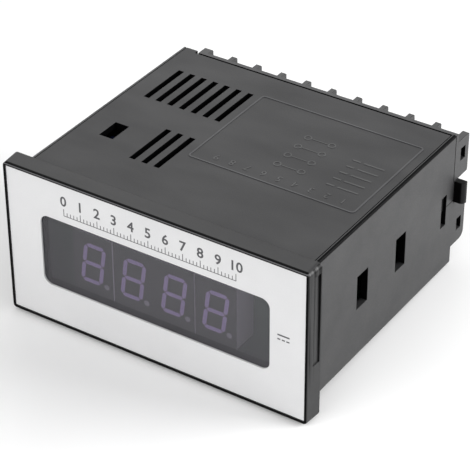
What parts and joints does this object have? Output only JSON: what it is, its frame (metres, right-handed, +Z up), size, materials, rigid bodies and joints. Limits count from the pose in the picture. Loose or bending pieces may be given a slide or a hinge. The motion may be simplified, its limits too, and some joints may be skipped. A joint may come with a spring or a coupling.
{
  "type": "digital panel meter",
  "caption": "Digital panel meter: wide rectangular bezel with a silver faceplate and smoked display window, vented black case, and barrier screw terminals at the rear.",
  "frame": {"origin": "middle of the bezel's back face, the plane that seats on the panel", "axes": "+X to the right as seen from the front, +Y to the rear through the panel, +Z up"},
  "size_m": [0.096, 0.088, 0.048],
  "materials": {
    "black_moulding": "fine-textured black moulding",
    "faceplate_silver": "flat satin silver grey",
    "smoked_window": "smoked clear, polished",
    "digit_body": "dark grey, satin",
    "digit_segment": "unlit tinted resin",
    "circuit_board": "green lacquered glass laminate",
    "core_steel": "varnished laminations",
    "coil_tape": "amber tape",
    "capacitor_sleeve": "dark blue shrink sleeve",
    "black_resin": "moulded epoxy",
    "resistor_ceramic": "unglazed white",
    "trimmer_blue": "blue",
    "trimmer_brass": "turned",
    "tinned_brass": "tinned",
    "plated_steel": "zinc plated"
  },
  "bodies": {
    "meter": {"case": "black_moulding", "top_cover": "black_moulding", "faceplate": "faceplate_silver", "window": "smoked_window", "digit_module_left": "digit_body", "digit_module_middle": "digit_body", "digit_module_right": "digit_body", "digit_segments_left": "digit_segment", "digit_segments_middle": "digit_segment", "digit_segments_right": "digit_segment", "display_board": "circuit_board", "power_board": "circuit_board", "signal_board": "circuit_board", "upper_header": "black_resin", "lower_header": "black_resin", "transformer_core": "core_steel", "transformer_coil": "coil_tape", "filter_capacitor": "capacitor_sleeve", "output_capacitor": "capacitor_sleeve", "bridge_rectifier": "black_resin", "regulator": "black_resin", "converter_chip": "black_resin", "sense_resistor": "resistor_ceramic", "trimmer_body": "trimmer_blue", "terminal_carrier": "black_moulding", "terminal_contacts": "tinned_brass"},
    "trimmer_rotor": {"trimmer_rotor": "trimmer_brass"},
    "clamp_upper_5": {"clamp_upper_5": "plated_steel"},
    "screw_upper_5": {"screw_upper_5": "plated_steel"},
    "clamp_upper_6": {"clamp_upper_6": "plated_steel"},
    "screw_upper_6": {"screw_upper_6": "plated_steel"},
    "clamp_upper_7": {"clamp_upper_7": "plated_steel"},
    "screw_upper_7": {"screw_upper_7": "plated_steel"},
    "clamp_upper_8": {"clamp_upper_8": "plated_steel"},
    "screw_upper_8": {"screw_upper_8": "plated_steel"},
    "clamp_upper_9": {"clamp_upper_9": "plated_steel"},
    "screw_upper_9": {"screw_upper_9": "plated_steel"},
    "clamp_lower_1": {"clamp_lower_1": "plated_steel"},
    "screw_lower_1": {"screw_lower_1": "plated_steel"},
    "clamp_lower_2": {"clamp_lower_2": "plated_steel"},
    "screw_lower_2": {"screw_lower_2": "plated_steel"},
    "clamp_lower_3": {"clamp_lower_3": "plated_steel"},
    "screw_lower_3": {"screw_lower_3": "plated_steel"},
    "clamp_lower_4": {"clamp_lower_4": "plated_steel"},
    "screw_lower_4": {"screw_lower_4": "plated_steel"},
    "clamp_lower_5": {"clamp_lower_5": "plated_steel"},
    "screw_lower_5": {"screw_lower_5": "plated_steel"}
  },
  "joints": [
    {"name": "clamp_upper_5_lift", "type": "slide", "parent": "meter", "child": "clamp_upper_5", "axis": [0, 1, 0], "range_m": [0, 0.002]},
    {"name": "screw_upper_5_turn", "type": "hinge", "parent": "clamp_upper_5", "child": "screw_upper_5", "pos_m": [-0.00025, 0.0782, 0.01335], "axis": [0, 1, 0], "range_deg": [0, 1440]},
    {"name": "clamp_upper_6_lift", "type": "slide", "parent": "meter", "child": "clamp_upper_6", "axis": [0, 1, 0], "range_m": [0, 0.002]},
    {"name": "screw_upper_6_turn", "type": "hinge", "parent": "clamp_upper_6", "child": "screw_upper_6", "pos_m": [0.0081, 0.0782, 0.01335], "axis": [0, 1, 0], "range_deg": [0, 1440]},
    {"name": "clamp_upper_7_lift", "type": "slide", "parent": "meter", "child": "clamp_upper_7", "axis": [0, 1, 0], "range_m": [0, 0.002]},
    {"name": "screw_upper_7_turn", "type": "hinge", "parent": "clamp_upper_7", "child": "screw_upper_7", "pos_m": [0.01645, 0.0782, 0.01335], "axis": [0, 1, 0], "range_deg": [0, 1440]},
    {"name": "clamp_upper_8_lift", "type": "slide", "parent": "meter", "child": "clamp_upper_8", "axis": [0, 1, 0], "range_m": [0, 0.002]},
    {"name": "screw_upper_8_turn", "type": "hinge", "parent": "clamp_upper_8", "child": "screw_upper_8", "pos_m": [0.0248, 0.0782, 0.01335], "axis": [0, 1, 0], "range_deg": [0, 1440]},
    {"name": "clamp_upper_9_lift", "type": "slide", "parent": "meter", "child": "clamp_upper_9", "axis": [0, 1, 0], "range_m": [0, 0.002]},
    {"name": "screw_upper_9_turn", "type": "hinge", "parent": "clamp_upper_9", "child": "screw_upper_9", "pos_m": [0.03315, 0.0782, 0.01335], "axis": [0, 1, 0], "range_deg": [0, 1440]},
    {"name": "clamp_lower_1_lift", "type": "slide", "parent": "meter", "child": "clamp_lower_1", "axis": [0, 1, 0], "range_m": [0, 0.002]},
    {"name": "screw_lower_1_turn", "type": "hinge", "parent": "clamp_lower_1", "child": "screw_lower_1", "pos_m": [-0.03365, 0.0782, -0.0097], "axis": [0, 1, 0], "range_deg": [0, 1440]},
    {"name": "clamp_lower_2_lift", "type": "slide", "parent": "meter", "child": "clamp_lower_2", "axis": [0, 1, 0], "range_m": [0, 0.002]},
    {"name": "screw_lower_2_turn", "type": "hinge", "parent": "clamp_lower_2", "child": "screw_lower_2", "pos_m": [-0.0253, 0.0782, -0.0097], "axis": [0, 1, 0], "range_deg": [0, 1440]},
    {"name": "clamp_lower_3_lift", "type": "slide", "parent": "meter", "child": "clamp_lower_3", "axis": [0, 1, 0], "range_m": [0, 0.002]},
    {"name": "screw_lower_3_turn", "type": "hinge", "parent": "clamp_lower_3", "child": "screw_lower_3", "pos_m": [-0.01695, 0.0782, -0.0097], "axis": [0, 1, 0], "range_deg": [0, 1440]},
    {"name": "clamp_lower_4_lift", "type": "slide", "parent": "meter", "child": "clamp_lower_4", "axis": [0, 1, 0], "range_m": [0, 0.002]},
    {"name": "screw_lower_4_turn", "type": "hinge", "parent": "clamp_lower_4", "child": "screw_lower_4", "pos_m": [-0.0086, 0.0782, -0.0097], "axis": [0, 1, 0], "range_deg": [0, 1440]},
    {"name": "clamp_lower_5_lift", "type": "slide", "parent": "meter", "child": "clamp_lower_5", "axis": [0, 1, 0], "range_m": [0, 0.002]},
    {"name": "screw_lower_5_turn", "type": "hinge", "parent": "clamp_lower_5", "child": "screw_lower_5", "pos_m": [-0.00025, 0.0782, -0.0097], "axis": [0, 1, 0], "range_deg": [0, 1440]},
    {"name": "trimmer_turn", "type": "hinge", "parent": "meter", "child": "trimmer_rotor", "pos_m": [-0.03425, 0.02615, 0.01685], "axis": [0, 0, 1], "range_deg": [-135, 135]}
  ],
  "couplings": [
    {"joint": "screw_upper_5_turn", "follows": "clamp_upper_5_lift", "rad_per_m": 12566},
    {"joint": "screw_upper_6_turn", "follows": "clamp_upper_6_lift", "rad_per_m": 12566},
    {"joint": "screw_upper_7_turn", "follows": "clamp_upper_7_lift", "rad_per_m": 12566},
    {"joint": "screw_upper_8_turn", "follows": "clamp_upper_8_lift", "rad_per_m": 12566},
    {"joint": "screw_upper_9_turn", "follows": "clamp_upper_9_lift", "rad_per_m": 12566},
    {"joint": "screw_lower_1_turn", "follows": "clamp_lower_1_lift", "rad_per_m": 12566},
    {"joint": "screw_lower_2_turn", "follows": "clamp_lower_2_lift", "rad_per_m": 12566},
    {"joint": "screw_lower_3_turn", "follows": "clamp_lower_3_lift", "rad_per_m": 12566},
    {"joint": "screw_lower_4_turn", "follows": "clamp_lower_4_lift", "rad_per_m": 12566},
    {"joint": "screw_lower_5_turn", "follows": "clamp_lower_5_lift", "rad_per_m": 12566}
  ]
}
